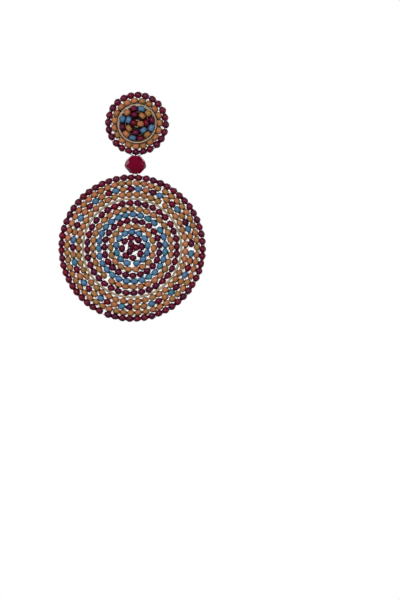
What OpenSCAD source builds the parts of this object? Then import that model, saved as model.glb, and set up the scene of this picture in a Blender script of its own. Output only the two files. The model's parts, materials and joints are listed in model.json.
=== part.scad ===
// Drop earring of seed beads: a round stud, a faceted crystal and a large round drop.
// Every disc is stitched in rows round a wire hoop, and each row of beads is one solid ring.
// The origin is on the post's axis at the back of its pad, where it meets the ear. The face looks
// along -Y and the drop hangs down -Z. Millimetres.

/* [Seed beads] */
// Outer diameter of one seed bead
bead_d = 2.05; // [1.8:0.05:2.2]
// Length of one seed bead along its hole
bead_len = 1.5; // [1.3:0.05:1.6]
// Gap between the beads of neighbouring rows inside a hoop
inner_gap = 0.155; // [0.08:0.005:0.25]
// Gap between the beads of neighbouring rows outside a hoop
outer_gap = 0.12; // [0.08:0.005:0.25]
// Gap between a hoop and the rows stitched to it
hoop_gap = 0.12; // [0.08:0.01:0.25]

/* [Drop] */
// Radius of the ring of three beads in the middle
drop_centre_r = 1.1; // [1.05:0.01:1.2]
// Radius of the innermost row
drop_first_r = 2.82; // [2.8:0.01:3.4]
// Thickness of the drop's hoop wire
drop_wire_d = 0.66; // [0.5:0.02:1]

/* [Stud] */
// Gap between the two beads in the middle
stud_middle_gap = 0.4; // [0.2:0.05:0.6]
// Thickness of the stud's hoop wire
stud_wire_d = 0.5; // [0.4:0.02:0.8]
// Thickness of the disc behind the beads inside the hoop
backing_t = 0.8; // [0.6:0.1:1.2]

/* [Crystal] */
// Diameter of the crystal over its girdle
crystal_d = 6.2; // [5:0.1:6.4]
// Height of the crystal along its hole
crystal_h = 5; // [4.4:0.1:5.2]
// Diameter of the flat table at each end
crystal_table_d = 2.8; // [2.6:0.1:3.2]
// Facets round the crystal in each tier
crystal_facets = 10; // [8:1:12]
// Diameter of the hole through the crystal
crystal_bore_d = 1; // [0.8:0.1:1.2]
// Thickness of the thread through the crystal
thread_d = 0.5; // [0.3:0.05:0.6]
// Gap that the thread leaves above and below the crystal
thread_gap = 0.3; // [0.3:0.01:0.6]

/* [Ear post] */
// Diameter of the post's pad
pad_d = 9; // [6:0.5:9.5]
// Thickness of the post's pad
pad_t = 0.5; // [0.4:0.1:0.8]
// Diameter of the post
post_d = 0.8; // [0.7:0.05:1]
// Length of the post behind the pad
post_len = 10; // [9:0.5:12]

/* [Hidden] */
$fn = 96;
BURGUNDY = "#5a1a30";
TAN = "#b98454";
BLUE = "#4a7fae";
MIXED = "#84584f";
WIRE = "#a89c86";
CRIMSON = "#7d0522";
FELT = "#1d1a22";
STEEL = "#b9bcc2";

// Clearance between pieces that are glued face to face
glue_gap = 0.1;
// Radius of the domed ends of a bead
bead_dome_r = 1.3;

// Rows are spaced by a bead and its gap, and a hoop takes the place between two rows.
inner_pitch = bead_len + inner_gap;
outer_pitch = bead_len + outer_gap;
inner_rows = 7;
drop_last_r = drop_first_r + (inner_rows - 1) * inner_pitch;
drop_hoop_r = drop_last_r + bead_len / 2 + hoop_gap + drop_wire_d / 2;
drop_outer_r = drop_hoop_r + drop_wire_d / 2 + hoop_gap + bead_len / 2;
drop_r = drop_outer_r + 3 * outer_pitch + bead_len / 2;
stud_pair_r = (stud_middle_gap + bead_len) / 2;
stud_hoop_r = stud_pair_r + 2 * inner_pitch + bead_len / 2 + hoop_gap + stud_wire_d / 2;
stud_outer_r = stud_hoop_r + stud_wire_d / 2 + hoop_gap + bead_len / 2;
stud_r = stud_outer_r + outer_pitch + bead_len / 2;
backing_r = stud_hoop_r - stud_wire_d / 2;

// Everything but the post, its pad and the backing lies in one plane in front of them.
backing_y = -pad_t - glue_gap;
bead_y = backing_y - backing_t - glue_gap - bead_d / 2;
crystal_z = -stud_r - thread_gap - crystal_h / 2;
drop_z = crystal_z - crystal_h / 2 - thread_gap - drop_r;

// Heights of the two places where the thread bends, half way across each gap
upper_pivot_z = -stud_r - thread_gap / 2;
lower_pivot_z = drop_z + drop_r + thread_gap / 2;

// Rows of beads: name, radius of the middle of the row, height of the disc's centre, colour
ROW_NAME = 0;
ROW_R = 1;
ROW_Z = 2;
ROW_COLOUR = 3;
BEAD_ROWS = [
    ["stud_centre_pair", stud_pair_r, 0, MIXED],
    ["stud_inner_circle", stud_pair_r + inner_pitch, 0, MIXED],
    ["stud_outer_circle", stud_pair_r + 2 * inner_pitch, 0, MIXED],
    ["stud_tan_row", stud_outer_r, 0, TAN],
    ["stud_edge_row", stud_outer_r + outer_pitch, 0, BURGUNDY],
    ["drop_centre", drop_centre_r, drop_z, BURGUNDY],
    ["inner_row_7", drop_first_r, drop_z, BURGUNDY],
    ["inner_row_6", drop_first_r + inner_pitch, drop_z, BLUE],
    ["inner_row_5", drop_first_r + 2 * inner_pitch, drop_z, TAN],
    ["inner_row_4", drop_first_r + 3 * inner_pitch, drop_z, BURGUNDY],
    ["inner_row_3", drop_first_r + 4 * inner_pitch, drop_z, BLUE],
    ["inner_row_2", drop_first_r + 5 * inner_pitch, drop_z, TAN],
    ["inner_row_1", drop_last_r, drop_z, BURGUNDY],
    ["outer_row_1", drop_outer_r, drop_z, TAN],
    ["outer_row_2", drop_outer_r + outer_pitch, drop_z, MIXED],
    ["outer_row_3", drop_outer_r + 2 * outer_pitch, drop_z, TAN],
    ["drop_edge_row", drop_outer_r + 3 * outer_pitch, drop_z, BURGUNDY],
];

// The main facets of both halves meet in a zigzag round the girdle. This puts its corners on the
// crystal's full diameter.
girdle_r = crystal_d * (1 + cos(180 / crystal_facets)) / 4;

// Tiers of facets on each half of the crystal: distance of the facet's plane from the crystal's
// axis at its reference height, that height, its lean from upright, and its turn in facet steps
main_lean = 16;
crown_lean = 42;
TIER_R = 0;
TIER_Z = 1;
TIER_LEAN = 2;
TIER_TURN = 3;
TIERS = [
    [girdle_r, 0, main_lean, 0],
    [crystal_table_d / 2, crystal_h / 2, crown_lean, 0.5],
];

// Turns a profile in the half plane x >= 0 round a disc's axis, which runs through the disc's
// centre along Y in the plane of the beads.
module around_disc(disc_z) {
    translate([0, bead_y, disc_z])
        rotate([90, 0, 0])
            rotate_extrude()
                children();
}

// Section of a bead through its hole's axis, which lies along x: round sides and domed ends
module bead_section() {
    dome_shift = bead_dome_r - bead_len / 2;
    intersection() {
        circle(d = bead_d);
        translate([-dome_shift, 0]) circle(r = bead_dome_r);
        translate([dome_shift, 0]) circle(r = bead_dome_r);
    }
}

// One row of beads, as a closed ring
module bead_row(row) {
    color(row[ROW_COLOUR])
        around_disc(row[ROW_Z])
            translate([row[ROW_R], 0])
                bead_section();
}

module hoop(hoop_r, wire_d, disc_z) {
    color(WIRE)
        around_disc(disc_z)
            translate([hoop_r, 0])
                circle(d = wire_d);
}

// A disc or rod along Y that starts at the height front_y and ends at back_y
module rod_along_y(d, front_y, back_y) {
    translate([0, back_y, 0])
        rotate([90, 0, 0])
            cylinder(d = d, h = back_y - front_y);
}

module ear_post() {
    color(STEEL)
        union() {
            rod_along_y(pad_d, -pad_t, 0);
            rod_along_y(post_d, -pad_t / 2, post_len);
        }
}

module stud_backing() {
    color(FELT)
        rod_along_y(2 * backing_r, backing_y - backing_t, backing_y);
}

// Block that grinds one facet: everything beyond a plane that leans inwards going up
module facet_cutter(tier, blank_r) {
    translate([tier[TIER_R], 0, tier[TIER_Z]])
        rotate([0, -tier[TIER_LEAN], 0])
            translate([0, -blank_r, -crystal_h])
                cube([2 * blank_r, 2 * blank_r, 2 * crystal_h]);
}

// Rondelle: a round blank with a flat table at each end, ground in two tiers on each half. The
// lower half is turned by half a facet, so the girdle zigzags.
module crystal_bead() {
    blank_r = crystal_d / 2 + 0.3;
    step = 360 / crystal_facets;
    color(CRIMSON)
        translate([0, bead_y, crystal_z])
            difference() {
                cylinder(r = blank_r, h = crystal_h, center = true);
                for (half = [0, 1], tier = TIERS, i = [0 : crystal_facets - 1])
                    mirror([0, 0, half])
                        rotate([0, 0, (i + tier[TIER_TURN] + half / 2) * step])
                            facet_cutter(tier, blank_r);
                cylinder(d = crystal_bore_d, h = crystal_h + 1, center = true);
            }
}

// Thread through the crystal, from one bending place to the other
module crystal_thread() {
    color(BURGUNDY)
        translate([0, bead_y, lower_pivot_z])
            cylinder(d = thread_d, h = upper_pivot_z - lower_pivot_z);
}

ear_post();
stud_backing();
hoop(stud_hoop_r, stud_wire_d, 0);  // stud_hoop
hoop(drop_hoop_r, drop_wire_d, drop_z);  // drop_hoop
crystal_bead();
crystal_thread();
for (row = BEAD_ROWS)
    bead_row(row);
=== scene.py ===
"""Looks of a seed bead drop earring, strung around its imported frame.

Every bead, stitch and wire is a surface worked out with numpy, in metres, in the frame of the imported
model: +Z up, the beaded face looking along -Y, and the origin where the stud sits on the ear.
Angles round a disc run clockwise from its top, as seen from the front.
"""

import json
import math
from collections import namedtuple

import bpy
import numpy as np
from mathutils import Matrix, Vector


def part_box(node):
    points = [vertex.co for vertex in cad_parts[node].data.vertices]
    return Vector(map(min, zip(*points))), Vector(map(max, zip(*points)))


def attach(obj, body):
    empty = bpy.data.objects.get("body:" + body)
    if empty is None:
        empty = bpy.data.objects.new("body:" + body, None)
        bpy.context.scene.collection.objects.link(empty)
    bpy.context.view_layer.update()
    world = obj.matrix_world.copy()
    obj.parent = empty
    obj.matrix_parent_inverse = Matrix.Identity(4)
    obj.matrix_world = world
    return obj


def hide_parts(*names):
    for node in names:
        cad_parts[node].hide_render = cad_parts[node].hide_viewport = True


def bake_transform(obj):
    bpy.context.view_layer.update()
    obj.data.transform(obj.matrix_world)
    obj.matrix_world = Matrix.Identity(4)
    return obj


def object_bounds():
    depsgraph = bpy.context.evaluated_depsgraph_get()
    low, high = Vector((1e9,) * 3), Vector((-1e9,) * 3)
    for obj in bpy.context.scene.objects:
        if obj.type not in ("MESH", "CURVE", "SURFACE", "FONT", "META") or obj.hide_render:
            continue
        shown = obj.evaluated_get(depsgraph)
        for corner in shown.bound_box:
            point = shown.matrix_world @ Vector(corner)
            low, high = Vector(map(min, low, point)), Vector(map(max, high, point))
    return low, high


bl_info = {
    "name": "Seed Bead Earring",
    "version": (1, 0, 0),
    "blender": (4, 5, 0),
    "location": "3D View > Sidebar > Earring",
    "description": "Strings the beads, stitches, hoops, crystal and ear post of a drop earring",
    "category": "Add Mesh",
}

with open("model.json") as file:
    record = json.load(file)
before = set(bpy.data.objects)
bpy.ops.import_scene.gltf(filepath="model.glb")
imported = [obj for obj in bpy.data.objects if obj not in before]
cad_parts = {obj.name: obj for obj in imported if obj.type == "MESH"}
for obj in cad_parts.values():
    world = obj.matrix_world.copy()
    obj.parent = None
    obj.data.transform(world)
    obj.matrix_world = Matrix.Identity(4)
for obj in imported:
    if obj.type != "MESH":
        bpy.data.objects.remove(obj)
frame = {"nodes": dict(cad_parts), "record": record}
CAD_BOX = [list(corner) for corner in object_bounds()]

MM = 0.001

# Direction through a disc, from its beaded face to its back
BACKWARDS = np.array([0.0, 1.0, 0.0])

# An angle too small to matter, in radians
TRACE = 1e-12

# Chart of the bead rows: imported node, body, number of beads, angle of the first bead or of each bead,
# colours in turn (R burgundy, T tan, B blue), how the row is stitched (along its inside or outside,
# down to the backing, or strung round on a ring of thread), and how much longer the beads are than
# most, where they have no neighbour on one side
Row = namedtuple("Row", "node body beads start colours stitched longer", defaults=(0.0,))
ROWS = (
    Row("stud_centre_pair", "stud", 2, 98.2, "TR", "round", 0.18 * MM),
    Row("stud_inner_circle", "stud", 7, 32.3, "TRBRTBR", "down"),
    Row("stud_outer_circle", "stud", 12, 14.7, "BTR", "down"),
    Row("stud_tan_row", "stud", 19, 10.4, "T", "outside"),
    Row("stud_edge_row", "stud", 24, 0.0, "R", "outside", 0.18 * MM),
    Row("drop_centre", "drop", 3, (-19.0, 82.0, 212.0), "R", "round", 0.18 * MM),
    Row("inner_row_7", "drop", 8, (-5.0, 34.4, 80.0, 123.3, 172.1, 216.8, 263.1, 309.9), "R", "inside"),
    Row("inner_row_6", "drop", 13, -2.2, "B", "inside"),
    Row("inner_row_5", "drop", 18, 8.4, "T", "inside"),
    Row("inner_row_4", "drop", 23, 3.6, "R", "inside"),
    Row("inner_row_3", "drop", 27, 0.4, "B", "inside"),
    Row("inner_row_2", "drop", 32, -3.1, "T", "inside"),
    Row("inner_row_1", "drop", 36, -4.7, "R", "inside"),
    Row("outer_row_1", "drop", 45, -4.7, "T", "outside"),
    Row("outer_row_2", "drop", 49, -3.4, "RBT" * 8 + "T" + "RBT" * 8, "outside"),
    Row("outer_row_3", "drop", 55, -4.7, "T", "outside"),
    Row("drop_edge_row", "drop", 59, -3.05, "R", "outside", 0.08 * MM),
)

# Wider gaps in a row: its node, the bead before the gap, counted from 0, and the extra width
Gap = namedtuple("Gap", "node bead width")
GAPS = (
    Gap("drop_edge_row", 33, 0.6 * MM),
    Gap("outer_row_3", 4, 0.3 * MM),
    Gap("outer_row_2", 12, 0.8 * MM),
    Gap("outer_row_1", 4, 0.45 * MM),
    Gap("inner_row_1", 5, 0.3 * MM),
    Gap("inner_row_2", 19, 0.7 * MM),
    Gap("inner_row_3", 3, 0.5 * MM),
    Gap("inner_row_6", 6, 0.7 * MM),
)
# Number of beads over which a gap's push dies away
GAP_REACH = 5.0

# Hoops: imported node, body, and the rows whose beads hang on the wire by loops of thread
Hoop = namedtuple("Hoop", "node body looped")
HOOPS = (
    Hoop("stud_hoop", "stud", ("stud_tan_row",)),
    Hoop("drop_hoop", "drop", ("outer_row_1", "inner_row_1")),
)

# Beads of the edge rows, counted from 0, whose holes take the forked cord
STUD_HANGERS = (11, 13)
DROP_HANGERS = (0, 1)

# Corners over a bead's outside and sides round its hole, and sides of the threads
BEAD_OUTSIDE = 4
BEAD_SIDES = 10
THREAD_SIDES = 5
CORD_SIDES = 8

# The photograph: its frame, size of a pixel, place of the stud's middle, and the lean of the earring
PHOTO_FRAME = (400, 600)
PHOTO_PIXEL = 0.283 * MM
PHOTO_STUD = (137.06, 123.6)
PHOTO_LEAN = math.radians(2.3)
SENSOR = 36.0


def paint(code):
    """Linear red, green and blue of a colour given as six hexadecimal digits."""
    shares = [int(code[place : place + 2], 16) / 255 for place in (0, 2, 4)]
    return tuple(share / 12.92 if share < 0.04045 else ((share + 0.055) / 1.055) ** 2.4 for share in shares)


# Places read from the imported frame


Ring = namedtuple("Ring", "middle inner outer depth")


def ring_of(node):
    """Middle of a round node, its least and greatest distance from its own axis, and its depth."""
    mesh = frame["nodes"][node].data
    flat = np.empty(3 * len(mesh.vertices))
    mesh.vertices.foreach_get("co", flat)
    corners = flat.reshape(-1, 3)
    low, high = corners.min(0), corners.max(0)
    middle = np.array([0.0, (low[1] + high[1]) / 2, (low[2] + high[2]) / 2])
    away = np.hypot(corners[:, 0], corners[:, 2] - middle[2])
    return Ring(middle, away.min(), away.max(), high[1] - low[1])


RINGS = {name: ring_of(name) for name in [row.node for row in ROWS] + [hoop.node for hoop in HOOPS]}
DROP_RIM = RINGS["drop_edge_row"]
STUD_RIM = RINGS["stud_edge_row"]
POST = next(mount for mount in frame["record"]["mounts"] if mount["name"] == "post")


def directions(angles):
    """Unit vectors outwards and clockwise at angles round a disc: sine and cosine of the angle along
    X and Z, and the same turned by a quarter."""
    none = np.zeros_like(angles)
    outwards = np.stack([np.sin(angles), none, np.cos(angles)], -1)
    clockwise = np.stack([np.cos(angles), none, -np.sin(angles)], -1)
    return outwards, clockwise


def bead_angles(row):
    """Angles of a row's beads. They are evenly spaced from the first one, unless each has its own. Each
    wider gap then pushes the beads on both sides away from itself by half its width, which dies away
    exponentially with the number of beads from the gap."""
    if isinstance(row.start, tuple):
        return np.radians(row.start)
    ring = RINGS[row.node]
    number = np.arange(row.beads)
    angles = math.radians(row.start) + number * math.tau / row.beads
    for gap in GAPS:
        if gap.node == row.node:
            away = (number - gap.bead - 0.5 + row.beads / 2) % row.beads - row.beads / 2
            half_turn = gap.width / (ring.inner + ring.outer)
            angles = angles + half_turn * np.sign(away) * np.exp(-np.abs(away) / GAP_REACH)
    return angles


# Surfaces worked out as arrays

Skin = namedtuple("Skin", "corners faces")


def skin(corners, loop):
    """Faces for corners given as (grid, row, column, xyz). Columns close round on themselves. With loop
    the last row joins the first, and otherwise flat faces close the first and the last row. A face
    runs along its row first, so it looks outwards where the columns turn right-handed about the rows'
    direction."""
    grids, rows, columns = corners.shape[:3]
    number = np.arange(grids * rows * columns).reshape(grids, rows, columns)
    beside = np.roll(number, -1, 2)
    quads = np.stack([number, beside, np.roll(beside, -1, 1), np.roll(number, -1, 1)], -1)
    faces = [(quads if loop else quads[:, :-1]).reshape(-1, 4)]
    if not loop:
        faces.append(np.concatenate([number[:, 0, ::-1], number[:, -1]]))
    return Skin(corners.reshape(-1, 3), faces)


def joined(skins):
    """Several skins as one: their corners in a row, and each one's faces counted on from the last."""
    starts = np.cumsum([0] + [len(part.corners) for part in skins])
    faces = [array + start for part, start in zip(skins, starts) for array in part.faces]
    return Skin(np.concatenate([part.corners for part in skins]), faces)


def tube(paths, thick, crosswise, loop, sides=THREAD_SIDES):
    """Round tubes along paths given as (path, step, xyz). The direction at a step is the difference of
    its neighbours. The first side vector is the crosswise vector less its part along the direction,
    the second is the cross product of the two, and the corners go round the circle they span."""
    if loop:
        ahead = np.roll(paths, -1, 1) - np.roll(paths, 1, 1)
    else:
        ahead = np.gradient(paths, axis=1)
    ahead = ahead / np.linalg.norm(ahead, axis=-1, keepdims=True)
    first = crosswise - (crosswise * ahead).sum(-1, keepdims=True) * ahead
    first = first / np.linalg.norm(first, axis=-1, keepdims=True)
    second = np.cross(ahead, first)
    turn = np.arange(sides) * math.tau / sides
    circle = np.cos(turn)[:, None] * first[..., None, :] + np.sin(turn)[:, None] * second[..., None, :]
    return skin(paths[..., None, :] + thick / 2 * circle, loop)


def lathe(profile, middle, loop, sides):
    """A profile of (distance from the axis, place along Y) turned round an axis along Y through the
    middle. It looks outwards where the profile's outer part runs towards +Y."""
    outwards, _ = directions(np.arange(sides) * math.tau / sides)
    corners = profile[:, None, 0, None] * outwards + profile[:, None, 1, None] * BACKWARDS + middle
    return skin(corners[None], loop)


def arc(centre, radius, start, end, points=5):
    """Points of a circle's arc from one angle to another, in degrees, where 0 is away from the axis
    and 90 is towards +Y."""
    angle = np.radians(np.linspace(start, end, points))
    return np.stack([centre[0] + radius * np.cos(angle), centre[1] + radius * np.sin(angle)], -1)


def make_piece(name, form, materials, smooth=True, marks=(), face_materials=None):
    """A mesh object of a skin. Each mark is (name, domain, values), where the values are single
    numbers or rows of three."""
    mesh = bpy.data.meshes.new(name)
    faces = [face for array in form.faces for face in array.tolist()]
    mesh.from_pydata(form.corners.tolist(), [], faces)
    mesh.polygons.foreach_set("use_smooth", np.full(len(faces), smooth))
    if face_materials is not None:
        mesh.polygons.foreach_set("material_index", face_materials.astype(np.int32))
    for mark, domain, values in marks:
        kind, field = ("FLOAT", "value") if values.ndim == 1 else ("FLOAT_VECTOR", "vector")
        mesh.attributes.new(mark, kind, domain).data.foreach_set(field, values.astype(np.float32).ravel())
    for material in materials:
        mesh.materials.append(material)
    mesh.update()
    piece = bpy.data.objects.new(name, mesh)
    bpy.context.scene.collection.objects.link(piece)
    return piece


# Beads


def bead_outline(power, mouth):
    """Outside of a bead from end to end, as places from -1 to 1 along the hole and distances from it up
    to 1: an arc of a superellipse, whose cosine and sine are raised to 2 / power and keep their signs.
    It starts and ends at the angle of the mouth and is stretched to its full length and width."""
    turn = np.linspace(math.pi - mouth, mouth, BEAD_OUTSIDE)
    along = np.sign(np.cos(turn)) * np.abs(np.cos(turn)) ** (2 / power)
    off = np.sin(turn) ** (2 / power)
    return along / along.max(), off / off.max()


def small_turns(vectors):
    """Rotation matrices about vectors whose lengths are the angles, by Rodrigues' formula: the unit
    matrix, plus the cross matrix times the sine, plus its square times one less the cosine. A trace
    is added to each angle, so that no vector is divided by zero."""
    angle = np.linalg.norm(vectors, axis=-1)[:, None, None] + TRACE
    x, y, z = (vectors / angle[:, 0]).T
    none = np.zeros_like(x)
    cross = np.stack([none, -z, y, z, none, -x, -y, x, none], -1).reshape(-1, 3, 3)
    return np.eye(3) + np.sin(angle) * cross + (1 - np.cos(angle)) * cross @ cross


def bead_row(row, looks, seed):
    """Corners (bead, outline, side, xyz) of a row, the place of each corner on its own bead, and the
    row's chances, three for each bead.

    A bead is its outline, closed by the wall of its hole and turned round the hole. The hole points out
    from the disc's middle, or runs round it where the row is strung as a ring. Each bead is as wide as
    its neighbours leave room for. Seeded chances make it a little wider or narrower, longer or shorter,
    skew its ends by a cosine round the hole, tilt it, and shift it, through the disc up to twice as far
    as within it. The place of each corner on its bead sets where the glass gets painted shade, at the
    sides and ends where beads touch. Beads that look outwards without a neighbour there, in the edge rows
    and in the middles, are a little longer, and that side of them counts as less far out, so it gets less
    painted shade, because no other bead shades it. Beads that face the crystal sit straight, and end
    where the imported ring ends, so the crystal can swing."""
    ring = RINGS[row.node]
    chance = np.random.default_rng(seed)
    radius = (ring.inner + ring.outer) / 2
    outwards, clockwise = directions(bead_angles(row))
    hole, side = (clockwise, outwards) if row.stitched == "round" else (outwards, clockwise)
    axes = np.stack([hole, side, np.cross(hole, side)], 1)

    along, off = bead_outline(looks.roundness, looks.mouth)
    spacing = 2 * radius * math.sin(math.pi / row.beads)
    widest = looks.ring_bead if row.stitched == "round" else min(spacing, looks.diameter)
    longest = looks.length + row.longer
    girth = widest / 2 * (1 + looks.size_spread * chance.uniform(-1, 1, row.beads))
    reach = longest / 2 * (1 + looks.size_spread * chance.uniform(-1, 1, row.beads))

    crystal = np.mean(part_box("crystal_bead"), 0)
    facing = np.linalg.norm(ring.middle + radius * outwards - crystal, axis=-1) < looks.crystal_room
    half = (ring.outer - ring.inner) / 2
    reach = np.where(facing, (reach + half) / 2, reach)

    along = np.append(along, [looks.hole_depth, -looks.hole_depth])
    wall = np.append(girth[:, None] * off, np.full((row.beads, 2), looks.hole / 2), 1)
    turn = np.arange(BEAD_SIDES) * math.tau / BEAD_SIDES
    skew_turn = turn - chance.uniform(0, math.tau, (row.beads, 1))
    skew = looks.skew * chance.random((row.beads, 1)) * np.cos(skew_turn) * ~facing[:, None]
    place = np.stack(
        [
            (reach[:, None] * along)[:, :, None] * (1 + skew[:, None, :]),
            wall[:, :, None] * np.cos(turn),
            wall[:, :, None] * np.sin(turn),
        ],
        -1,
    )
    tilt = small_turns(chance.normal(0, looks.tilt, (row.beads, 3)) * ~facing[:, None])
    shift = chance.uniform(-1, 1, (row.beads, 3)) * (looks.drift * (1 + BACKWARDS) / 2)
    shift = np.where(facing[:, None], (half - reach)[:, None] * outwards, shift)
    middle = ring.middle + radius * outwards + shift
    corners = middle[:, None, None] + np.einsum("bosc,bcd,bed->bose", place, axes, tilt)
    # Place of each corner on its bead, scaled to the bead's size; the glass's painted shade where beads
    # touch is worked out from it
    spot = place / np.stack([reach, girth, girth], -1)[:, None, None]
    # A side without a neighbour counts as less far out, so it gets less painted shade
    if row.longer:
        # Axis of the bead that points out of the disc: its side in a strung ring, else its hole
        free = 1 if row.stitched == "round" else 0
        spot[..., free] = np.minimum(spot[..., free], looks.open_side_shade_cap)
    return corners, spot, chance.random((row.beads, 3))


def make_bead_row(row, looks, glass, seed):
    """One row's beads as a joined mesh in place of its packed ring. A bead closes on itself both ways,
    so it has as many faces as corners."""
    corners, spot, chance = bead_row(row, looks, seed)
    corners_a_bead = spot[0, ..., 0].size
    letters = sorted(set(row.colours))
    colours = np.array([letters.index(letter) for letter in row.colours])
    piece = make_piece(
        row.node + "_beads",
        skin(corners, loop=True),
        [glass[letter] for letter in letters],
        marks=(
            ("bead_spot", "POINT", spot.reshape(-1, 3)),
            ("bead_chance", "POINT", np.repeat(chance, corners_a_bead, 0)),
        ),
        face_materials=np.repeat(np.resize(colours, row.beads), corners_a_bead),
    )
    settle(piece, row.body, row.node)


def settle(piece, body, *nodes):
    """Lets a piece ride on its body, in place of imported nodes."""
    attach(piece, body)
    if nodes:
        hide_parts(*nodes)
        parts = frame["record"]["subparts"]
        next(part["material_slot"] for part in parts if part["node"] == nodes[0])


# Threads


def cubic(knots, steps):
    """Cubic curves from the first of four knots to the last, weighted by Bernstein's polynomials of the
    share of the way. A knot holds one row for each curve."""
    share = np.linspace(0, 1, steps)[:, None]
    weights = ((1 - share) ** 3, 3 * share * (1 - share) ** 2, 3 * share**2 * (1 - share), share**3)
    return sum(knot[:, None] * weight for knot, weight in zip(knots, weights))


def bridges(row, looks):
    """Closed path of the thread along a row's mouths. At each bead a high even power of a cosine dips
    it into the hole. Outside an edge row, where no other bead holds it up, the fourth power of a sine
    also sinks it into the notch between two beads."""
    ring = RINGS[row.node]
    angles = bead_angles(row)
    share = np.arange(looks.steps) / looks.steps
    steps = (angles[:, None] + (np.roll(angles, -1)[:, None] - angles[:, None]) % math.tau * share).ravel()
    dip = np.tile(np.cos(math.pi * share) ** looks.dip_power, row.beads) * looks.dip
    if row.node.endswith("edge_row"):
        dip += np.tile(np.sin(math.pi * share) ** 4, row.beads) * looks.sink
    if row.stitched == "inside":
        radius = ring.inner + looks.snug + dip
    else:
        radius = ring.outer - looks.snug - dip
    outwards, _ = directions(steps)
    path = ring.middle + radius[:, None] * outwards
    return tube(path[None], looks.thickness, BACKWARDS, loop=True)


def wire_loops(hoop, node, looks):
    """Loops of thread round a hoop's wire, one for each bead of a row next to it. A loop is a half
    circle on the wire's far side and half an ellipse that reaches into the bead's hole. The thread is
    drawn into the wire by a quarter of its thickness."""
    wire, ring = RINGS[hoop.node], RINGS[node]
    row = next(row for row in ROWS if row.node == node)
    outwards, clockwise = directions(bead_angles(row))
    wire_radius = (wire.inner + wire.outer) / 2
    close = (wire.outer - wire.inner) / 2 + looks.loop_thickness / 4
    outside = ring.inner > wire_radius
    mouth = ring.inner if outside else ring.outer
    far = abs(mouth - wire_radius) + looks.dip
    turn = np.arange(looks.loop_steps) * math.tau / looks.loop_steps
    reach = np.where(np.cos(turn) > 0, far, close) * np.cos(turn) * (1 if outside else -1)
    path = (
        wire.middle
        + (wire_radius + reach)[:, None] * outwards[:, None]
        + (close * np.sin(turn))[:, None] * BACKWARDS
    )
    return tube(path, looks.loop_thickness, clockwise[:, None], loop=True)


def staples(row, looks):
    """Stitches that hold a row down on the backing, one for each bead: through its hole, and down on
    both sides in a curve whose depth grows with the fourth power of the distance from the bead's
    middle."""
    ring = RINGS[row.node]
    outwards, clockwise = directions(bead_angles(row))
    share = np.linspace(-1, 1, looks.loop_steps)
    reach = (ring.outer - ring.inner) / 2 * looks.staple_reach
    path = (
        ring.middle
        + ((ring.inner + ring.outer) / 2 + share * reach)[:, None] * outwards[:, None]
        + (ring.depth / 2 * share**4)[:, None] * BACKWARDS
    )
    return tube(path, looks.thickness, clockwise[:, None], loop=False)


def bundle(row, hoop, looks):
    """Closed turns of thread that run behind a row, from its hoop outwards, nine tenths of a thread
    apart. Each wanders in and out as the sine of a whole number of waves, the outer ones more, and back
    and forth as its cosine. Each has two waves more than the one before it, so the turns cross."""
    ring = RINGS[row.node]
    turns = np.arange(looks.turns)[:, None]
    angles = np.arange(looks.ring_steps) * math.tau / looks.ring_steps
    outwards, _ = directions(angles)
    wave = (3 + 2 * turns) * angles + 2 * turns
    stray = looks.wander * turns / looks.turns * np.sin(wave)
    radius = RINGS[hoop.node].outer + 0.9 * looks.bundled * turns + stray
    back = (ring.depth + looks.bundled) / 2 + looks.wander * (1 + np.cos(wave)) / 2
    paths = ring.middle + radius[..., None] * outwards + back[..., None] * BACKWARDS
    return tube(paths, looks.bundled, BACKWARDS, loop=True)


def whip_stitches(row, hoop, looks):
    """Stitches over the edge of the backing, each a cubic curve from its back face over its edge to the
    bundled thread."""
    ring, wire = RINGS[row.node], RINGS[hoop.node]
    _, (edge, back, _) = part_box("stud_backing")
    outwards, clockwise = directions(np.arange(looks.whipped) * math.tau / looks.whipped)
    bundled = ring.middle[1] + ring.depth / 2 + looks.bundled
    places = (
        (edge - looks.bite, back),
        (edge + looks.bite / 2, back + looks.bite / 3),
        (wire.outer, back - looks.bite / 2),
        (wire.outer + 1.5 * looks.bundled, bundled),
    )
    centre = ring.middle * (1 - BACKWARDS)
    knots = [centre + radius * outwards + level * BACKWARDS for radius, level in places]
    return tube(cubic(knots, looks.loop_steps), looks.thickness, clockwise[:, None], loop=False)


def ring_thread(row, looks):
    """The closed circle of thread on which the beads in a disc's middle are strung."""
    ring = RINGS[row.node]
    outwards, _ = directions(np.arange(looks.ring_steps) * math.tau / looks.ring_steps)
    path = ring.middle + (ring.inner + ring.outer) / 2 * outwards
    return tube(path[None], looks.strung, BACKWARDS, loop=True)


def plied_cord(top, bottom, middle, looks):
    """Two strands, each half as thick as the cord, twisted round each other down a straight line. Each
    is a helix whose angle is the height over the pitch, so pieces of the same cord run on into each
    other. Its crosswise vector is any level one."""
    height = np.linspace(top, bottom, looks.cord_steps)
    strand = looks.cord / 4
    angle = height / looks.pitch * math.tau + np.array([[0.0], [math.pi]])
    path = np.stack(
        [
            middle[0] + strand * np.cos(angle),
            middle[1] + strand * np.sin(angle),
            np.broadcast_to(height, angle.shape),
        ],
        -1,
    )
    return tube(path, looks.cord / 2, np.array([1.0, 0.2, 0.0]), loop=False, sides=CORD_SIDES)


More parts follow.
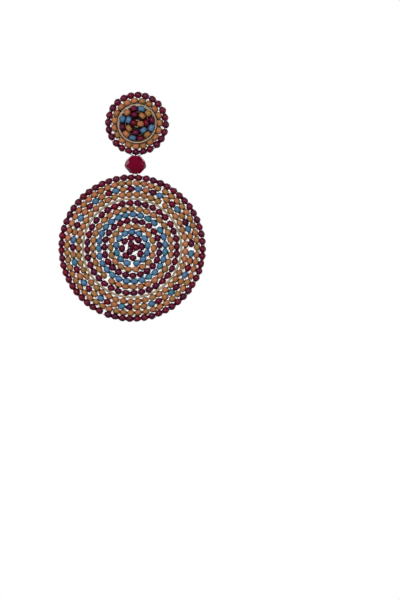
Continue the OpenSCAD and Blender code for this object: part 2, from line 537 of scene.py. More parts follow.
def forked_cord(node, beads, crystal_end, looks):
    """Strands between the crystal's hole and the holes of beads in the edge row next to it, each a cubic
    curve that leaves both holes along their axes."""
    row = next(row for row in ROWS if row.node == node)
    ring = RINGS[node]
    outwards, _ = directions(bead_angles(row)[list(beads)])
    side = np.sign(outwards[:, :1]) * np.array([1.0, 0.0, 0.0])
    onward = np.array([0.0, 0.0, np.sign(ring.middle[2] - crystal_end)])
    crystal = np.array([ring.middle[0], ring.middle[1], crystal_end])
    mouth = ring.middle + ring.outer * outwards
    knots = (
        crystal + side * looks.cord / 4 - onward * looks.fork_rise,
        crystal + side * looks.cord / 4 + onward * looks.fork_drop,
        mouth + outwards * looks.fork_drop,
        mouth - outwards * looks.fork_rise,
    )
    path = cubic(knots, looks.cord_steps)
    return tube(path, looks.cord / 2, BACKWARDS, loop=False, sides=CORD_SIDES)


def sew_disc(hoop, looks, fibres):
    """All the stitches on a hoop's body, as one piece for each fibre: maroon, brown and pale."""
    rows = [row for row in ROWS if row.body == hoop.body]
    stitched = [row for row in rows if row.stitched in ("inside", "outside")]
    sewn_down = [row for row in rows if row.stitched == "down"]
    sewn = {
        "maroon_stitches": [bridges(row, looks) for row in stitched if row.colours != "T"],
        "brown_stitches": [bridges(row, looks) for row in stitched if row.colours == "T"],
        "pale_stitches": [wire_loops(hoop, node, looks) for node in hoop.looped],
    }
    strung = [ring_thread(row, looks) for row in rows if row.stitched == "round"]
    sewn["pale_stitches" if sewn_down else "maroon_stitches"] += strung
    for row in rows:
        if row.node == "stud_tan_row":
            sewn["brown_stitches"] += [bundle(row, hoop, looks), whip_stitches(row, hoop, looks)]
    for row in sewn_down:
        sewn["pale_stitches"] += [staples(row, looks), bridges(row, looks)]
    for (name, parts), fibre in zip(sewn.items(), fibres):
        stitches = make_piece(hoop.body + "_" + name, joined(parts), [fibre])
        settle(stitches, hoop.body)


def hang_crystal_and_drop(looks, fibre):
    """The cord through the crystal, and the cords over and under it. Those two curve between the bodies
    that they join, from one side of the gap to the other."""
    low, high = (np.array(corner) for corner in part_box("crystal_thread"))
    gem_low, gem_high = (np.array(corner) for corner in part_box("crystal_bead"))
    middle = (low + high) / 2
    cord = make_piece("crystal_cord", plied_cord(high[2], low[2], middle, looks), [fibre])
    settle(cord, "crystal", "crystal_thread")

    stud_low = STUD_RIM.middle[2] - STUD_RIM.outer
    upper = plied_cord(stud_low + looks.fork_rise, gem_high[2] - looks.fork_rise, middle, looks)
    fork = forked_cord("stud_edge_row", STUD_HANGERS, gem_high[2], looks)
    piece = make_piece("upper_cord", joined([upper, fork]), [fibre])
    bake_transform(piece)

    fork = forked_cord("drop_edge_row", DROP_HANGERS, gem_low[2], looks)
    piece = make_piece("lower_cord", fork, [fibre])
    drop_high = DROP_RIM.middle[2] + DROP_RIM.outer
    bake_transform(piece)


# Crystal


def crystal_form(looks):
    """Corners and facets of the crystal, whose upper and lower half are alike but for half a facet's
    turn.

    A facet's plane leans inwards away from the girdle, so its distance from the axis falls by the
    tangent of its lean for each unit of height, and two neighbours of one tier meet at that distance
    over the cosine of half a step. A corner is where two such falls cross. Main facets have six
    corners, crown facets five, and the table is a band of quads round the hole."""
    low, high = (np.array(corner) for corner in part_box("crystal_bead"))
    middle, size = (low + high) / 2, high - low
    count = looks.facets
    narrow = math.cos(math.pi / count)
    crown_fall, main_fall = math.tan(looks.crown_lean), math.tan(looks.main_lean)
    crown = (looks.table / 2 + size[2] / 2 * crown_fall, crown_fall)
    main = (size[0] / 4 * (1 + narrow), main_fall)

    def crossing(one, other):
        """Radius and height where two falls, each a start at height 0 and a slope, are equal."""
        height = (one[0] - other[0]) / (one[1] - other[1])
        return one[0] - one[1] * height, height

    def edge(fall, sign=1):
        """Fall of the edge between two neighbours of a tier, upside down for sign -1."""
        return fall[0] / narrow, sign * fall[1] / narrow

    rings = (
        (looks.table / 2 / narrow, size[2] / 2, 0.0),
        (*crossing(edge(crown), main), 0.0),
        (*crossing(crown, edge(main)), 0.5),
        (looks.bore / 2, size[2] / 2, 0.0),
    )
    girdle_radius, girdle_height = crossing(main, edge(main, -1))
    step = math.tau / count
    number = np.arange(count)
    corners = []
    for half, up in enumerate((1, -1)):
        for radius, height, turn in rings:
            angle = (number + turn + half / 2) * step
            level = np.full(count, up * height)
            corners.append(np.stack([radius * np.cos(angle), radius * np.sin(angle), level], -1))
    zigzag = np.arange(2 * count)
    angle = zigzag * step / 2
    level = np.where(zigzag % 2 == 0, girdle_height, -girdle_height)
    corners.append(np.stack([girdle_radius * np.cos(angle), girdle_radius * np.sin(angle), level], -1))

    following, previous = (number + 1) % count, (number - 1) % count
    faces = []
    for half in (0, 1):
        table, shoulder, tip, bore = (number + (4 * half + ring) * count for ring in range(4))
        belt = [8 * count + (2 * number + half + offset) % (2 * count) for offset in (-1, 0, 1)]
        facets = (
            [shoulder, tip[previous], *belt, tip],
            [table[following], table, shoulder, tip, shoulder[following]],
            [table, table[following], bore[following], bore],
        )
        faces += [np.stack(facet if half == 0 else facet[::-1], -1) for facet in facets]
    upper, lower = number + 3 * count, number + 7 * count
    faces.append(np.stack([upper, upper[following], lower[following], lower], -1))
    return Skin(np.concatenate(corners) + middle, faces)


# Ear post and backing


def puck(radius, front, back, rounding):
    """Profile of a disc from its front face over its rounded rim to its back face."""
    centre = radius - rounding
    return np.concatenate(
        [
            arc((centre, front + rounding), rounding, -90, 0),
            arc((centre, back - rounding), rounding, 0, 90),
        ]
    )


def post_profile(looks):
    """Profile of the ear post: its pad, a solder fillet, the pin with a notch that an ear nut snaps
    into, and a rounded tip. The notch is an arc whose middle lies off the pin. Two points close to the
    ends of the pad's flat back keep its shading flat."""
    low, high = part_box("ear_post")
    pin = POST["dims"]["r_mm"] * MM
    back = high[1] - POST["dims"]["length_mm"] * MM
    fillet, notch = looks.fillet, looks.notch
    groove = high[1] - looks.notch_from_tip
    return np.concatenate(
        [
            puck(high[0], low[1], back, looks.rim),
            [[high[0] - 1.5 * looks.rim, back], [pin + 1.3 * fillet, back]],
            arc((pin + fillet, back + fillet), fillet, 270, 180, points=6),
            [[pin, groove - 2 * notch]],
            arc((pin + notch, groove), 1.5 * notch, 220, 140),
            [[pin, groove + 2 * notch]],
            arc((0.0, high[1] - pin), pin, 0, 80),
        ]
    )


# Materials

# Sockets of a Mix node set to colours: its factor and its two colours going in, and its colour coming out
MIX_FACTOR, MIX_START, MIX_END, MIX_COLOUR = 0, 6, 7, 2


class Wire:
    """One output of a shader node. Python's arithmetic on it adds the node that does the sum: Math for
    numbers, and Vector Math as soon as one side is a colour or a vector."""

    def __init__(self, finish, socket):
        self.finish = finish
        self.socket = socket

    def _combined(self, operation, one, other):
        wires = [side for side in (one, other) if isinstance(side, Wire)]
        if all(wire.socket.type == "VALUE" for wire in wires):
            return self.finish.add("ShaderNodeMath", {"operation": operation}, {0: one, 1: other})
        sides = [side if isinstance(side, Wire) or np.ndim(side) else (side,) * 3 for side in (one, other)]
        return self.finish.add("ShaderNodeVectorMath", {"operation": operation}, dict(enumerate(sides)))

    def __add__(self, other):
        return self._combined("ADD", self, other)

    def __radd__(self, other):
        return self._combined("ADD", other, self)

    def __sub__(self, other):
        return self._combined("SUBTRACT", self, other)

    def __rsub__(self, other):
        return self._combined("SUBTRACT", other, self)

    def __mul__(self, other):
        return self._combined("MULTIPLY", self, other)

    def __rmul__(self, other):
        return self._combined("MULTIPLY", other, self)

    def __abs__(self):
        return self.finish.add("ShaderNodeMath", {"operation": "ABSOLUTE"}, {0: self})

    def or_more(self, other):
        """The greater of this number and another."""
        return self._combined("MAXIMUM", self, other)

    def between(self, low, high):
        """A smooth step from 0 at low to 1 at high."""
        settings = {"interpolation_type": "SMOOTHSTEP"}
        inputs = {"Value": self, "From Min": low, "From Max": high}
        return self.finish.add("ShaderNodeMapRange", settings, inputs)

    def blend(self, start, end):
        """Start where this number is 0, end where it is 1, and their mixture in between."""
        inputs = {MIX_FACTOR: self, MIX_START: start, MIX_END: end}
        return self.finish.add("ShaderNodeMix", {"data_type": "RGBA"}, inputs, MIX_COLOUR)

    def parts(self):
        """The three numbers of this vector or colour."""
        split = self.finish.add("ShaderNodeSeparateXYZ", {}, {0: self})
        return [Wire(self.finish, socket) for socket in split.socket.node.outputs]


class Finish:
    """A material's nodes, added one at a time."""

    def __init__(self, name):
        self.material = bpy.data.materials.new(name)
        self.material.use_nodes = True
        self.tree = self.material.node_tree
        self.tree.nodes.clear()

    def add(self, kind, settings=None, inputs=None, output=0):
        """Adds a node of a kind, makes its settings, fills or links its inputs, and gives one output.
        The setting stops holds a ramp's places and colours."""
        node = self.tree.nodes.new(kind)
        node.location = (200 * len(self.tree.nodes), 0)
        for name, value in (settings or {}).items():
            if name == "stops":
                for stop, (place, colour) in enumerate(value):
                    stops = node.color_ramp.elements
                    mark = stops[stop] if stop < len(stops) else stops.new(place)
                    mark.position, mark.color = place, opaque(colour)
            else:
                setattr(node, name, value)
        for name, value in (inputs or {}).items():
            socket = node.inputs[name]
            if isinstance(value, Wire):
                self.tree.links.new(value.socket, socket)
            else:
                socket.default_value = opaque(value) if socket.type == "RGBA" else value
        return Wire(self, node.outputs[output])

    def place(self):
        """Place on the object, in metres."""
        return self.add("ShaderNodeTexCoord", output="Object")

    def mark(self, name):
        """A vector that the mesh holds under a name."""
        return self.add("ShaderNodeAttribute", {"attribute_name": name}, output="Vector")

    def noise(self, grain, detail=3.0):
        """Noise about 0.5 on the place on the object, with lumps of about the grain's size."""
        inputs = {"Vector": self.place(), "Scale": 1 / grain, "Detail": detail}
        return self.add("ShaderNodeTexNoise", {}, inputs)

    def bump(self, height, depth, strength=1.0):
        """Normal of a surface raised by a height of 0 to 1 times the depth."""
        return self.add("ShaderNodeBump", {}, {"Height": height, "Distance": depth, "Strength": strength})

    def coat(self, inputs):
        """Ends the material in a surface with these inputs."""
        surface = self.add("ShaderNodeBsdfPrincipled", {}, inputs)
        node = self.tree.nodes.new("ShaderNodeOutputMaterial")
        self.tree.links.new(surface.socket, node.inputs["Surface"])
        return self.material

    def glow(self, colour):
        """Ends the material in a surface that is evenly lit and reflects nothing."""
        dull = {"Base Color": (0.0, 0.0, 0.0), "Roughness": 1.0, "Specular IOR Level": 0.0}
        return self.coat({**dull, "Emission Color": colour, "Emission Strength": 1.0})


def opaque(colour):
    """A colour with a full fourth channel."""
    return (*tuple(colour)[:3], 1.0)


def bead_glass(name, main, warm, cool, crease):
    """Satin opaque glass. Each bead has its own tone between a warm and a cool one and its own
    brightness. It is given painted shade towards its sides and ends, where beads touch, and is mottled."""
    finish = Finish(name)
    brightness, hue, polish = finish.mark("bead_chance").parts()
    along, across, _ = finish.mark("bead_spot").parts()
    cloud = finish.noise(0.5 * MM)
    ramp = {"stops": ((0.0, warm), (0.5, main), (1.0, cool))}
    tone = finish.add("ShaderNodeValToRGB", ramp, {"Fac": hue})
    tone = tone * (0.8 + 0.3 * brightness + 0.25 * (cloud - 0.5))
    # Painted shade where beads touch: near a bead's sides and ends its colour goes towards the painted shade
    # colour, and the glass is rougher there.
    painted_shade_mask = abs(along).between(0.68, 1.03).or_more(abs(across).between(0.58, 0.98))
    colour = (0.9 * painted_shade_mask).blend(tone, crease)
    grain = finish.noise(0.12 * MM)
    return finish.coat(
        {
            "Base Color": colour,
            "Roughness": 0.3 + 0.15 * polish + 0.15 * painted_shade_mask,
            "Specular IOR Level": 0.25,
            "Coat Weight": 0.1,
            "Coat Roughness": 0.3,
            "Normal": finish.bump(grain, 0.02 * MM, 0.5),
        }
    )


def thread_fibre(name, main, shade):
    """Twisted nylon: darker and lighter strands, and a fine roughness. The darker colour lies in the hollows
    of its bump, so it is partly the thread's own tone and partly painted shade.
    """
    finish = Finish(name)
    strands = finish.noise(0.15 * MM)
    # Darker in the bump's hollows: partly the thread's own tone, partly painted shade
    colour = strands.between(0.3, 0.7).blend(shade, main)
    inputs = {
        "Base Color": colour,
        "Roughness": 0.55 + 0.2 * strands,
        "Normal": finish.bump(strands, 0.03 * MM, 0.6),
    }
    return finish.coat(inputs)


def hoop_metal(looks):
    """Champagne plating, worn matt and scuffed in patches."""
    finish = Finish("hoop_metal")
    patches = finish.noise(1.2 * MM)
    scuffs = finish.noise(0.2 * MM)
    colour = patches.between(0.35, 0.65).blend(looks.hoop_shade, looks.hoop)
    return finish.coat(
        {
            "Base Color": colour * (0.95 + 0.1 * scuffs),
            "Metallic": 0.15 + 0.3 * patches,
            "Roughness": 0.45 + 0.2 * scuffs,
            "Normal": finish.bump(scuffs, 0.03 * MM, 0.15),
        }
    )


def post_metal(looks):
    """Satin steel with a fine grain and a trace of wear."""
    finish = Finish("post_metal")
    wear = finish.noise(0.8 * MM)
    grain = finish.noise(0.05 * MM)
    return finish.coat(
        {
            "Base Color": wear.blend(looks.steel_shade, looks.steel),
            "Metallic": 1.0,
            "Roughness": 0.3 + 0.15 * wear,
            "Normal": finish.bump(grain, 0.004 * MM, 0.3),
        }
    )


def felt(looks):
    """Near-black felt: matted fibres in two sizes of noise. It is darker in the hollows of its bump, partly
    the felt's own tone and partly painted shade.
    """
    finish = Finish("backing_felt")
    tufts = finish.noise(0.5 * MM)
    fibres = finish.noise(0.06 * MM, 5.0)
    return finish.coat(
        {
            # Darker in the bump's hollows: partly the felt's own tone, partly painted shade
            "Base Color": (0.5 * tufts + 0.5 * fibres).blend(looks.felt_shade, looks.felt),
            "Roughness": 0.85 + 0.1 * fibres,
            "Sheen Weight": 0.2,
            "Normal": finish.bump(0.4 * tufts + 0.6 * fibres, 0.12 * MM),
        }
    )


def crystal_glass(looks):
    """Deep crimson cut glass with painted reflections. Each facet is given its own depth of crimson, a
    painted reflection from inside the glass, and a few are painted purple-grey, as if the light came through
    them from behind. Cells on the object deepen the crimson towards their edges, painted inner reflections
    too."""
    finish = Finish("crystal_glass")
    # A random number for each facet chooses its painted reflection: a deep or a bright crimson, or the
    # painted light through it from behind
    facet = finish.add("ShaderNodeAttribute", {"attribute_name": "facet_chance"}, output="Fac")
    # Painted inner reflections: the crimson deepens towards the edges of cells on the object, which are also
    # a little rougher
    inputs = {"Vector": finish.place(), "Scale": 1 / (1.6 * MM)}
    painted_reflection_cells = finish.add("ShaderNodeTexVoronoi", {}, inputs, "Distance")
    ramp = {"stops": ((0.0, looks.deep), (0.8, looks.colour), (0.86, looks.painted_backlight))}
    tone = finish.add("ShaderNodeValToRGB", ramp, {"Fac": facet})
    return finish.coat(
        {
            "Base Color": (0.25 * painted_reflection_cells).blend(tone, looks.deep),
            "Roughness": 0.05 + 0.05 * painted_reflection_cells,
            "Specular IOR Level": 0.25,
        }
    )


def floor_paint(looks):
    """Evenly lit pale floor with a faint cloudiness, which fades into the backdrop at its rim."""
    finish = Finish("floor_paint")
    cloud = finish.noise(90 * MM)
    away = finish.add("ShaderNodeVectorMath", {"operation": "LENGTH"}, {0: finish.place()}, "Value")
    paint = cloud.blend(looks.floor_shade, looks.floor)
    return finish.glow(away.between(0.2 * looks.dome, 0.95 * looks.dome).blend(paint, looks.backdrop))


def backdrop_glow(looks):
    """Evenly lit white backdrop."""
    return Finish("backdrop_glow").glow(looks.backdrop)


# Settings


def length(name, description, millimetres, **options):
    """A property for a length, given in millimetres and kept in metres."""
    settings = {"subtype": "DISTANCE", "unit": "LENGTH", "min": 0.0, "precision": 5, **options}
    return bpy.props.FloatProperty(name=name, description=description, default=millimetres * MM, **settings)


def angle(name, description, degrees):
    """A property for an angle, given in degrees and kept in radians."""
    return bpy.props.FloatProperty(
        name=name, description=description, default=math.radians(degrees), subtype="ANGLE", unit="ROTATION"
    )


def colour(name, description, code):
    """A property for a colour, given in hexadecimal digits."""
    return bpy.props.FloatVectorProperty(
        name=name, description=description, default=paint(code), subtype="COLOR", size=3, min=0.0, max=1.0
    )


def share(name, description, value, **options):
    """A property for a plain number."""
    return bpy.props.FloatProperty(name=name, description=description, default=value, min=0.0, **options)


def number(name, description, value):
    """A property for a count."""
    return bpy.props.IntProperty(name=name, description=description, default=value, min=1)


def group(name, description, kind):
    """A property for a group of settings."""
    return bpy.props.PointerProperty(name=name, description=description, type=kind)


class BeadLooks(bpy.types.PropertyGroup):
    """Sizes and colours of the seed beads."""

    diameter: length("Diameter", "Greatest diameter of a seed bead", 2.2)
    length: length("Length", "Mean length of a seed bead along its hole", 1.66)
    hole: length("Hole", "Diameter of a seed bead's hole", 0.76)
    hole_depth: share("Hole rounding", "Where the mouth's rounding ends, as a share of half the length", 0.6)
    mouth: angle("Mouth", "Angle on the bead's outline at which the mouth starts", 19.0)
    ring_bead: length("Middle beads", "Diameter of the beads in the middle of each disc", 2.15)
    roundness: share("Roundness", "Power of the bead's outline: 2 is oval, more is squarer", 2.5)
    # Caps the painted shade on a bead's side that has no neighbour
    open_side_shade_cap: share("Open sides", "How far out a bead's side without a neighbour counts as", 0.65)
    size_spread: share("Size spread", "How much the beads differ in size", 0.03)
    skew: share("Skewed ends", "How far a bead's ends lean, as a share of its length", 0.12)
    tilt: angle("Tilt", "Usual tilt of a bead", 5.0)
    drift: length("Drift", "How far a bead may lie off its place", 0.08)
    crystal_room: length("Room for the crystal", "Beads nearer to the crystal's middle leave it room", 4.6)
    seed: number("Seed", "Start of the random numbers for the beads", 7)
    burgundy: colour("Burgundy", "Main colour of the burgundy beads", "6e1033")
    burgundy_warm: colour("Burgundy, warm", "Warmest burgundy", "7e0629")
    burgundy_cool: colour("Burgundy, cool", "Coolest burgundy", "5a0e38")
    # Painted shade: burgundy darkened for where beads touch
    burgundy_crease: colour("Burgundy creases", "Burgundy where beads touch", "300410")
    tan: colour("Tan", "Main colour of the tan beads", "c98450")
    tan_warm: colour("Tan, warm", "Pinkest tan", "d3835b")
    tan_cool: colour("Tan, cool", "Tan nearest khaki", "b8874f")
    # Painted shade: tan darkened for where beads touch
    tan_crease: colour("Tan creases", "Tan where beads touch", "4c260a")
    blue: colour("Blue", "Main colour of the blue beads", "5a8eb4")
    blue_warm: colour("Blue, violet", "Blue nearest violet", "628bbe")
    blue_cool: colour("Blue, green", "Blue nearest green", "4a90ab")
    # Painted shade: blue darkened for where beads touch
    blue_crease: colour("Blue creases", "Blue where beads touch", "10283e")


class ThreadLooks(bpy.types.PropertyGroup):
    """Sizes and colours of the beading thread."""

    thickness: length("Thickness", "Thickness of the thread", 0.12)
    snug: length("Snugness", "How far the thread between two beads lies inside their ends", 0.03)
    dip: length("Dip", "How far a stitch dips into a bead's hole", 0.35)
    dip_power: number("Dip power", "Power of the dip's cosine, an even number", 10)
    sink: length("Sink", "How far a stitch sinks between two beads at the edge", 0.3)
    steps: number("Steps", "Steps of a stitch from bead to bead", 8)
    loop_thickness: length("Loop thickness", "Thickness of the thread round the hoops", 0.06)
    loop_steps: number("Loop steps", "Steps of a loop or a staple", 12)
    bundled: length("Bundled thread", "Thickness of the thread behind the stud's tan row", 0.22)
    turns: number("Bundled turns", "Turns of the thread behind the stud's tan row", 5)
    wander: length("Wander", "How far the outer bundled turns wander off their place", 0.14)
    whipped: number("Whip stitches", "Stitches round the edge of the backing", 44)
    bite: length("Bite", "How far the whip stitches reach over the backing", 0.45)
    strung: length("Strung thread", "Thickness of the thread through the beads in each middle", 0.36)
    ring_steps: number("Ring steps", "Steps of a plain ring of thread", 96)
    staple_reach: share("Staple reach", "Reach of a staple over the bead's half length", 1.25)
    cord: length("Cord", "Thickness of the cord through the crystal", 0.46)
    pitch: length("Twist", "Length of one turn of the cord", 1.2)
    cord_steps: number("Cord steps", "Steps along a length of cord", 32)
    fork_rise: length("Fork rise", "How far the forked cord starts inside its holes", 0.55)
    fork_drop: length("Fork drop", "How hard the forked cord bends below the crystal", 0.35)
    maroon: colour("Maroon", "Colour of the thread among burgundy and blue beads", "4a1a24")
    maroon_shade: colour("Maroon shade", "Colour in the maroon thread's hollows", "2a0a14")
    brown: colour("Brown", "Colour of the thread among tan beads", "6e3c18")
    brown_shade: colour("Brown shade", "Colour in the brown thread's hollows", "40200c")
    pale: colour("Pale", "Colour of the thread round the hoops and in the stud's middle", "b7a07a")
    pale_shade: colour("Pale shade", "Colour in the pale thread's hollows", "8f7854")


class MetalLooks(bpy.types.PropertyGroup):
    """Sizes and colours of the hoops, the backing and the ear post."""

    wire_sides: number("Wire sides", "Sides of a hoop's wire", 10)
    hoop_steps: number("Hoop steps", "Steps round a hoop", 120)
    turned_sides: number("Turned sides", "Sides of the ear post and the backing", 56)
    rim: length("Rim", "Rounding of the post's pad", 0.14)
    fillet: length("Fillet", "Radius of the solder at the post's foot", 0.5)
    notch: length("Notch", "Half width of the notch for an ear nut", 0.18)
    notch_from_tip: length("Notch place", "Distance of the notch from the post's tip", 2.2)
    felt_edge: length("Felt edge", "Rounding of the backing", 0.25)
    hoop: colour("Hoop", "Colour of the hoops", "cfb794")
    hoop_shade: colour("Hoop, dulled", "Colour of the hoops where they are dulled", "b8a184")
    steel: colour("Steel", "Colour of the ear post", "c6c8cc")
    steel_shade: colour("Steel, worn", "Colour of the ear post where it is worn", "9ea0a4")
    felt: colour("Felt", "Colour of the backing", "33191c")
    felt_shade: colour("Felt shade", "Colour in the backing's hollows", "190a0f")


class CrystalLooks(bpy.types.PropertyGroup):
    """Cut and colours of the crystal."""

    facets: number("Facets", "Facets round the crystal in each tier", 10)
    table: length("Table", "Width of the flat table at each end", 2.8)
    bore: length("Hole", "Diameter of the crystal's hole", 1.0)
    main_lean: angle("Main lean", "Lean of the main facets from upright", 16.0)
    crown_lean: angle("Crown lean", "Lean of the crown facets from upright", 42.0)
    polish: length("Edges", "Width of the polished edges", 0.05)
    seed: number("Seed", "Start of the random numbers for the facets", 9649)
    # Painted reflections: each facet takes a crimson between the brightest and the darkest, and a few take
    # the painted light that comes through them from behind
    colour: colour("Crimson", "Brightest crimson of a facet", "8e0030")
    deep: colour("Deep crimson", "Darkest crimson of a facet", "7c0028")
    painted_backlight: colour("Smoky", "Colour of the few facets that the light comes through", "8a5f78")


class StageLooks(bpy.types.PropertyGroup):
    """Floor, backdrop, lights and camera."""

    distance: length("Camera distance", "Distance of the camera from the beads", 1000.0)
    drop_to_floor: length("Floor", "Height of the earring's lowest point over the floor", 720.0)
    dome: length("Backdrop", "Radius of the round backdrop", 2600.0)
    stage_sides: number("Stage sides", "Sides of the floor and the backdrop", 96)
    key: share("Key light", "Power of the main light in watts", 6.4)
    fill: share("Fill light", "Power of the light from the other side in watts", 1.0)
    rear: share("Rear light", "Power of the light from behind in watts", 6.0)
    side: share("Side lights", "Power of each of the two lights at the sides in watts", 3.0)
    ambient: share("Ambient", "Strength of the even light from all round", 0.15)
    floor: colour("Floor", "Main colour of the floor", "f2f1ee")
    floor_shade: colour("Floor shade", "Second colour of the floor", "ebeae6")
    backdrop: colour("Backdrop", "Colour of the backdrop", "ffffff")


class EarringLooks(bpy.types.PropertyGroup):
    """All the settings of the earring."""

    beads: group("Beads", "Sizes and colours of the seed beads", BeadLooks)
    threads: group("Threads", "Sizes and colours of the beading thread", ThreadLooks)
    metal: group("Metal", "Sizes and colours of the hoops, the backing and the ear post", MetalLooks)
    crystal: group("Crystal", "Cut and colours of the crystal", CrystalLooks)
    stage: group("Stage", "Floor, backdrop, lights and camera", StageLooks)


# Operators


class EARRING_OT_beads(bpy.types.Operator):
    """String every row of seed beads in place of its ring"""

    bl_idname = "earring.beads"
    bl_label = "Seed Beads"

    def execute(self, context):
        looks = context.scene.earring.beads
        glass = {}
        for letter, name in (("R", "burgundy"), ("T", "tan"), ("B", "blue")):
            # The last tone of each colour is its painted shade where beads touch
            tones = (getattr(looks, name + tone) for tone in ("", "_warm", "_cool", "_crease"))
            glass[letter] = bead_glass(name + "_glass", *tones)
        for place, row in enumerate(ROWS):
            make_bead_row(row, looks, glass, looks.seed + place)
        return {"FINISHED"}


class EARRING_OT_threads(bpy.types.Operator):
    """Stitch the rows together and hang the crystal and the drop on their cord"""

    bl_idname = "earring.threads"
    bl_label = "Threads"

    def execute(self, context):
        looks = context.scene.earring.threads
        maroon = thread_fibre("maroon_thread", looks.maroon, looks.maroon_shade)
        brown = thread_fibre("brown_thread", looks.brown, looks.brown_shade)
        pale = thread_fibre("pale_thread", looks.pale, looks.pale_shade)
        for hoop in HOOPS:
            sew_disc(hoop, looks, (maroon, brown, pale))
        hang_crystal_and_drop(looks, maroon)
        return {"FINISHED"}


class EARRING_OT_hoops(bpy.types.Operator):
    """Bend the two wire hoops"""

    bl_idname = "earring.hoops"
    bl_label = "Hoops"

    def execute(self, context):
        looks = context.scene.earring.metal
        metal = hoop_metal(looks)
        for hoop in HOOPS:
            ring = RINGS[hoop.node]
            radius, wire = (ring.inner + ring.outer) / 2, (ring.outer - ring.inner) / 2
            turn = np.arange(looks.wire_sides) * math.tau / looks.wire_sides
            profile = np.stack([radius + wire * np.cos(turn), wire * np.sin(turn)], -1)
            form = lathe(profile, ring.middle, True, looks.hoop_steps)
            settle(make_piece(hoop.node + "_wire", form, [metal]), hoop.body, hoop.node)
        return {"FINISHED"}


class EARRING_OT_crystal(bpy.types.Operator):
    """Cut the crystal"""

    bl_idname = "earring.crystal"
    bl_label = "Crystal"

    def execute(self, context):
        looks = context.scene.earring.crystal
        form = crystal_form(looks)
        count = sum(len(array) for array in form.faces)
        chances = np.random.default_rng(looks.seed).random(count)
        marks = (("facet_chance", "FACE", chances),)
        piece = make_piece("cut_crystal", form, [crystal_glass(looks)], smooth=False, marks=marks)
        polish = piece.modifiers.new("Polished edges", "BEVEL")
        polish.width = looks.polish
        polish.segments = 2
        settle(piece, "crystal", "crystal_bead")
        return {"FINISHED"}


class EARRING_OT_ear_post(bpy.types.Operator):
    """Turn the ear post and the felt backing"""

    bl_idname = "earring.ear_post"
    bl_label = "Ear Post"

    def execute(self, context):
        looks = context.scene.earring.metal
        middle = np.zeros(3)
        form = lathe(post_profile(looks), middle, False, looks.turned_sides)
        settle(make_piece("turned_ear_post", form, [post_metal(looks)]), "stud", "ear_post")
        low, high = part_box("stud_backing")
        form = lathe(puck(high[0], low[1], high[1], looks.felt_edge), middle, False, looks.turned_sides)
        settle(make_piece("felt_backing", form, [felt(looks)]), "stud", "stud_backing")
        return {"FINISHED"}


class EARRING_OT_stage(bpy.types.Operator):
    """Set up the floor, the backdrop, the lights and the camera"""

    bl_idname = "earring.stage"
    bl_label = "Stage"

    def execute(self, context):
        looks = context.scene.earring.stage
        place_floor(looks)
        place_backdrop(looks)
        place_lights(looks)
        place_camera(looks)
        return {"FINISHED"}


# Stage

# Where the backdrop's sphere ends in front and behind, in degrees from its middle, and its rings
BACKDROP_END = 88.0
BACKDROP_RINGS = 24


def place_floor(looks):
    """A round pale floor below the earring, as wide as the backdrop at its level."""
    level = CAD_BOX[0][2] - looks.drop_to_floor
    angles = np.arange(looks.stage_sides) * math.tau / looks.stage_sides
    rim = math.sqrt(looks.dome**2 - (level - DROP_RIM.middle[2]) ** 2)
    corners = np.stack([rim * np.cos(angles), rim * np.sin(angles), np.full_like(angles, level)], -1)
    floor = make_piece("floor", Skin(corners, [np.arange(looks.stage_sides)[None]]), [floor_paint(looks)])
    show_to_camera_only(floor)


def place_backdrop(looks):
    """A round white backdrop: a sphere worked out from the sine and cosine of two angles, turned to
    look inwards."""
    rise = np.radians(np.linspace(-BACKDROP_END, BACKDROP_END, BACKDROP_RINGS))
    profile = looks.dome * np.stack([np.cos(rise), -np.sin(rise)], -1)
    form = lathe(profile, DROP_RIM.middle, False, looks.stage_sides)
    show_to_camera_only(make_piece("backdrop", form, [backdrop_glow(looks)]))


def show_to_camera_only(piece):
    """Hides a piece from every ray but the camera's, which keeps its glow off the earring."""
    for rays in ("diffuse", "glossy", "transmission", "volume_scatter", "shadow"):
        setattr(piece, "visible_" + rays, False)


# Lights: name of the setting with its power, direction from the earring as x, y and z, distance, width
Lamp = namedtuple("Lamp", "power direction distance width")
LAMPS = (
    Lamp("key", (-0.2, -1.0, 0.3), 1.1, 0.5),
    Lamp("fill", (0.6, -1.0, -0.2), 1.2, 0.6),
    Lamp("rear", (0.1, 1.0, 0.2), 1.1, 1.2),
    Lamp("side", (-1.0, 0.2, 0.1), 1.1, 0.6),
    Lamp("side", (1.0, 0.2, 0.1), 1.1, 0.6),
)


def place_lights(looks):
    """Soft square lamps round the earring and an even light from everywhere."""
    aim = Vector((CAD_BOX[0][i] + CAD_BOX[1][i]) / 2 for i in range(3))
    for lamp in LAMPS:
        light = bpy.data.lights.new(lamp.power, "AREA")
        light.energy = getattr(looks, lamp.power)
        light.size = lamp.width
        holder = bpy.data.objects.new(lamp.power, light)
        direction = Vector(lamp.direction).normalized()
        holder.location = aim + direction * lamp.distance
        holder.rotation_euler = direction.to_track_quat("Z", "Y").to_euler()
        holder.visible_camera = False
        bpy.context.scene.collection.objects.link(holder)
    world = bpy.data.worlds.new("studio")
    world.use_nodes = True
    world.node_tree.nodes["Background"].inputs["Color"].default_value = (1.0, 1.0, 1.0, 1.0)
    world.node_tree.nodes["Background"].inputs["Strength"].default_value = looks.ambient
    bpy.context.scene.world = world
    bpy.context.scene.view_settings.view_transform = "Standard"


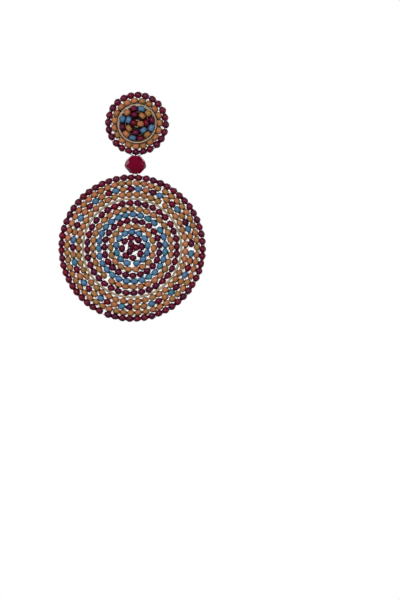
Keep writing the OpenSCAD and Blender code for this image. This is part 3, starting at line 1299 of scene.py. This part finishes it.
def place_camera(looks):
    """A camera level with the frame's middle that looks along +Y. It is rolled so that the earring
    leans as in the photograph, and set off so that the stud's middle falls on its pixel there."""
    right = Vector((math.cos(PHOTO_LEAN), 0.0, math.sin(PHOTO_LEAN)))
    up = Vector((-math.sin(PHOTO_LEAN), 0.0, math.cos(PHOTO_LEAN)))
    back = Vector((0.0, -1.0, 0.0))
    across = (PHOTO_FRAME[0] / 2 - PHOTO_STUD[0]) * PHOTO_PIXEL
    down = (PHOTO_FRAME[1] / 2 - PHOTO_STUD[1]) * PHOTO_PIXEL
    middle = Vector(STUD_RIM.middle) + across * right - down * up
    camera = bpy.data.cameras.new("camera")
    camera.sensor_width = SENSOR
    camera.lens = SENSOR * looks.distance / (max(PHOTO_FRAME) * PHOTO_PIXEL)
    holder = bpy.data.objects.new("camera", camera)
    turned = Matrix((right, up, back)).transposed().to_4x4()
    holder.matrix_world = Matrix.Translation(middle + back * looks.distance) @ turned
    bpy.context.scene.collection.objects.link(holder)
    bpy.context.scene.camera = holder


# Panel


class EARRING_PT_bench(bpy.types.Panel):
    """Settings and steps of the earring"""

    bl_idname = "EARRING_PT_bench"
    bl_label = "Seed Bead Earring"
    bl_space_type = "VIEW_3D"
    bl_region_type = "UI"
    bl_category = "Earring"

    def draw(self, context):
        for step, group in STEPS:
            box = self.layout.box()
            box.operator("earring." + step)
            looks = getattr(context.scene.earring, group)
            for name in looks.bl_rna.properties.keys():
                if name not in ("rna_type", "name"):
                    box.prop(looks, name)


# Steps in order: operator, and the group of settings that it reads
STEPS = (
    ("beads", "beads"),
    ("threads", "threads"),
    ("hoops", "metal"),
    ("ear_post", "metal"),
    ("crystal", "crystal"),
    ("stage", "stage"),
)

CLASSES = (
    BeadLooks,
    ThreadLooks,
    MetalLooks,
    CrystalLooks,
    StageLooks,
    EarringLooks,
    EARRING_OT_beads,
    EARRING_OT_threads,
    EARRING_OT_hoops,
    EARRING_OT_ear_post,
    EARRING_OT_crystal,
    EARRING_OT_stage,
    EARRING_PT_bench,
)


def register():
    """Registers the classes and hangs the settings on the scene."""
    for kind in CLASSES:
        bpy.utils.register_class(kind)
    bpy.types.Scene.earring = group("Earring", "All the settings of the earring", EarringLooks)


def unregister():
    """Takes the settings and the classes away again."""
    del bpy.types.Scene.earring
    for kind in reversed(CLASSES):
        bpy.utils.unregister_class(kind)


def main():
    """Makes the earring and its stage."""
    register()
    for step, _ in STEPS:
        getattr(bpy.ops.earring, step)()
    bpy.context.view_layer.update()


if __name__ == "__main__":
    main()
